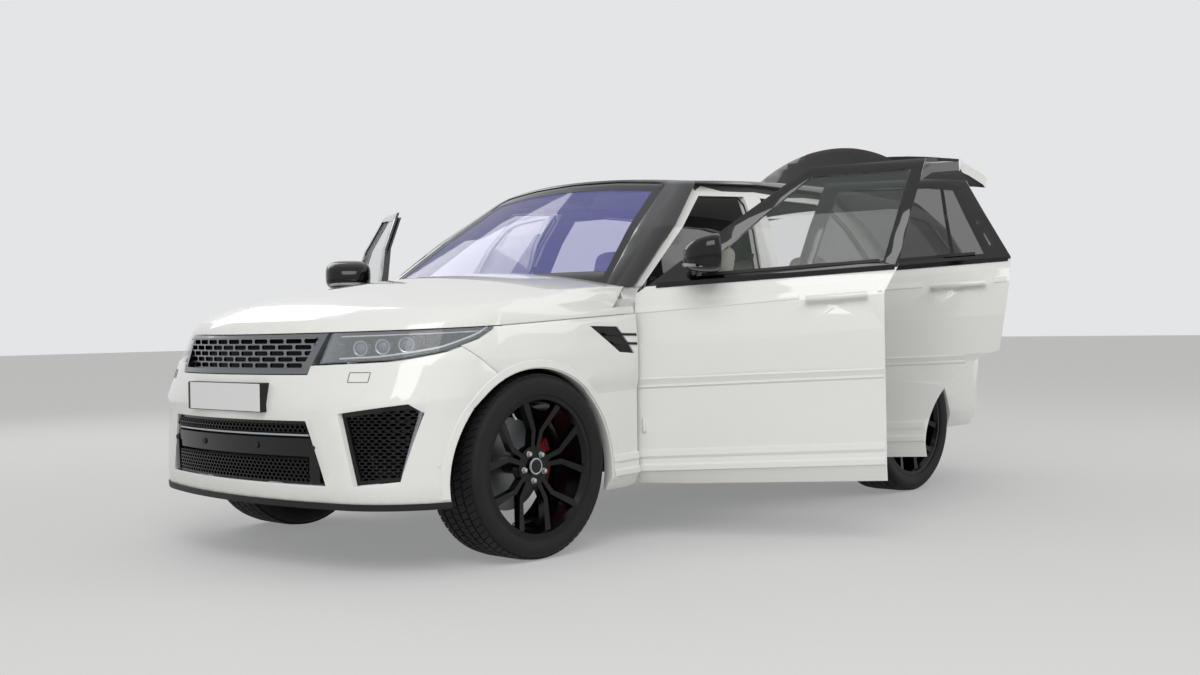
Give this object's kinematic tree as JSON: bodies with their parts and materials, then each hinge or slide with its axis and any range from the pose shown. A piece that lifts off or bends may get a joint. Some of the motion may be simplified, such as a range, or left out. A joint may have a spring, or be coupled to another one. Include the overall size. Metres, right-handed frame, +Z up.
{
  "type": "five-door sport utility vehicle",
  "caption": "Large sport utility vehicle with its doors and tailgate open, steered wheels, opening bonnet and a furnished cabin.",
  "frame": {"origin": "on the ground, on the centre plane, halfway along the whole object as it stands with its doors and tailgate open", "axes": "+X towards the front of the vehicle, +Y to its left, +Z up"},
  "size_m": [5.3876, 3.9642, 2.0845],
  "materials": {
    "paint_white": "gloss",
    "paint_black": "gloss",
    "plastic_black": "matte",
    "glass": "gloss",
    "lamp": "gloss",
    "lamp_red": "gloss",
    "tyre_rubber": "matte",
    "wheel_black": "gloss",
    "steel": "satin",
    "caliper_red": "gloss",
    "leather": "matte"
  },
  "bodies": {
    "body": {"body_shell": "paint_white", "roof": "paint_black", "fixed_glass": "glass", "quarter_panels": "paint_white", "tail_lamps": "lamp_red", "rear_bumper": "paint_white", "front_wings": "paint_white", "side_vents": "paint_black", "arch_liners": "plastic_black", "front_bumper": "paint_white", "lower_trims": "plastic_black", "headlamps": "lamp", "grille": "plastic_black", "lower_grilles": "plastic_black", "scuttle": "plastic_black", "engine": "steel", "exhaust": "steel", "axles": "steel", "seats": "leather", "dashboard": "plastic_black"},
    "bonnet": {"bonnet": "paint_white"},
    "steering_wheel": {"steering_wheel": "plastic_black"},
    "tailgate": {"tailgate": "paint_white", "tailgate_glass": "glass"},
    "front_door_left": {"front_door_left": "paint_white", "front_glass_left": "glass", "mirror_left": "paint_black"},
    "rear_door_left": {"rear_door_left": "paint_white", "rear_glass_left": "glass"},
    "wheel_front_left": {"rim_front_left": "wheel_black", "tyre_front_left": "tyre_rubber"},
    "wheel_rear_left": {"rim_rear_left": "wheel_black", "tyre_rear_left": "tyre_rubber"},
    "knuckle_left": {"knuckle_front_left": "steel", "caliper_front_left": "caliper_red"},
    "front_door_right": {"front_door_right": "paint_white", "front_glass_right": "glass", "mirror_right": "paint_black"},
    "rear_door_right": {"rear_door_right": "paint_white", "rear_glass_right": "glass"},
    "wheel_front_right": {"rim_front_right": "wheel_black", "tyre_front_right": "tyre_rubber"},
    "wheel_rear_right": {"rim_rear_right": "wheel_black", "tyre_rear_right": "tyre_rubber"},
    "knuckle_right": {"knuckle_front_right": "steel", "caliper_front_right": "caliper_red"}
  },
  "joints": [
    {"name": "front_door_left_hinge", "type": "hinge", "parent": "body", "child": "front_door_left", "pos_m": [1.1635, 0.9795, 0.7], "axis": [0, 0, -1], "range_deg": [-62, 6]},
    {"name": "rear_door_left_hinge", "type": "hinge", "parent": "body", "child": "rear_door_left", "pos_m": [0.0585, 0.9795, 0.7], "axis": [0, 0, -1], "range_deg": [-69, 3]},
    {"name": "steer_left", "type": "hinge", "parent": "body", "child": "knuckle_left", "pos_m": [1.806, 0.845, 0.388], "axis": [0, 0, 1], "range_deg": [-35, 35]},
    {"name": "wheel_front_left_spin", "type": "hinge", "parent": "knuckle_left", "child": "wheel_front_left", "pos_m": [1.806, 0.845, 0.388], "axis": [0, 1, 0], "continuous": true},
    {"name": "wheel_rear_left_spin", "type": "hinge", "parent": "body", "child": "wheel_rear_left", "pos_m": [-1.117, 0.845, 0.388], "axis": [0, 1, 0], "continuous": true},
    {"name": "front_door_right_hinge", "type": "hinge", "parent": "body", "child": "front_door_right", "pos_m": [1.1635, -0.9795, 0.7], "axis": [0, 0, 1], "range_deg": [-62, 6]},
    {"name": "rear_door_right_hinge", "type": "hinge", "parent": "body", "child": "rear_door_right", "pos_m": [0.0585, -0.9795, 0.7], "axis": [0, 0, 1], "range_deg": [-69, 3]},
    {"name": "steer_right", "type": "hinge", "parent": "body", "child": "knuckle_right", "pos_m": [1.806, -0.845, 0.388], "axis": [0, 0, 1], "range_deg": [-35, 35]},
    {"name": "wheel_front_right_spin", "type": "hinge", "parent": "knuckle_right", "child": "wheel_front_right", "pos_m": [1.806, -0.845, 0.388], "axis": [0, 1, 0], "continuous": true},
    {"name": "wheel_rear_right_spin", "type": "hinge", "parent": "body", "child": "wheel_rear_right", "pos_m": [-1.117, -0.845, 0.388], "axis": [0, 1, 0], "continuous": true},
    {"name": "bonnet_hinge", "type": "hinge", "parent": "body", "child": "bonnet", "pos_m": [1.241, 0, 1.205], "axis": [0, -1, 0], "range_deg": [0, 48]},
    {"name": "tailgate_hinge", "type": "hinge", "parent": "body", "child": "tailgate", "pos_m": [-1.672, 0, 1.722], "axis": [0, 1, 0], "range_deg": [-73, 2]},
    {"name": "steering_wheel_turn", "type": "hinge", "parent": "body", "child": "steering_wheel", "pos_m": [0.656, -0.37, 1.01], "axis": [-0.9207, 0, 0.3903], "range_deg": [-490, 490]}
  ],
  "couplings": [
    {"joint": "steer_right", "follows": "steer_left", "ratio": 1},
    {"joint": "steering_wheel_turn", "follows": "steer_left", "ratio": 14}
  ]
}
